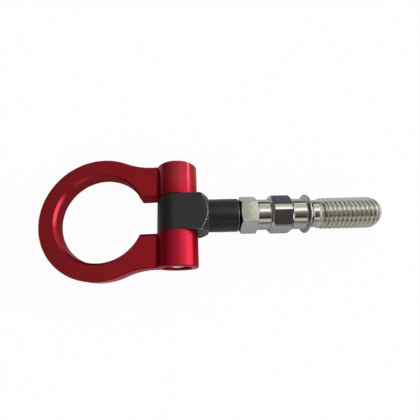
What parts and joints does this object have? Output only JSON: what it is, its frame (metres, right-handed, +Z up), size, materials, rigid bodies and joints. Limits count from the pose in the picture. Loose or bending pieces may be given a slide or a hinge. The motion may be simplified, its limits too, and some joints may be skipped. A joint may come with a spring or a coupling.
{
  "type": "folding tow hook",
  "caption": "Tow eye that folds on a bolt in a forked ring's bosses, with a swivel block, lock nut and screw-in stud.",
  "frame": {"origin": "on the stud's axis, where the towing thread begins", "axes": "+X along the stud to its tip, +Y along the pivot bolt, +Z up from the floor that the hook lies on"},
  "size_m": [0.1955, 0.0726, 0.0234],
  "materials": {
    "red_anodised": "satin",
    "bolt_steel": "satin",
    "black_block": "satin",
    "zinc_nut": "satin",
    "bright_steel": "polished"
  },
  "bodies": {
    "stud": {"adapter_stud": "bright_steel", "jam_nut": "zinc_nut", "swivel_block": "black_block"},
    "ring": {"tow_ring": "red_anodised", "pivot_bolt": "bolt_steel"}
  },
  "joints": [
    {"name": "ring_fold", "type": "hinge", "parent": "stud", "child": "ring", "pos_m": [-0.082, 0, 0], "axis": [0, 1, 0], "range_deg": [-161, 171]}
  ]
}
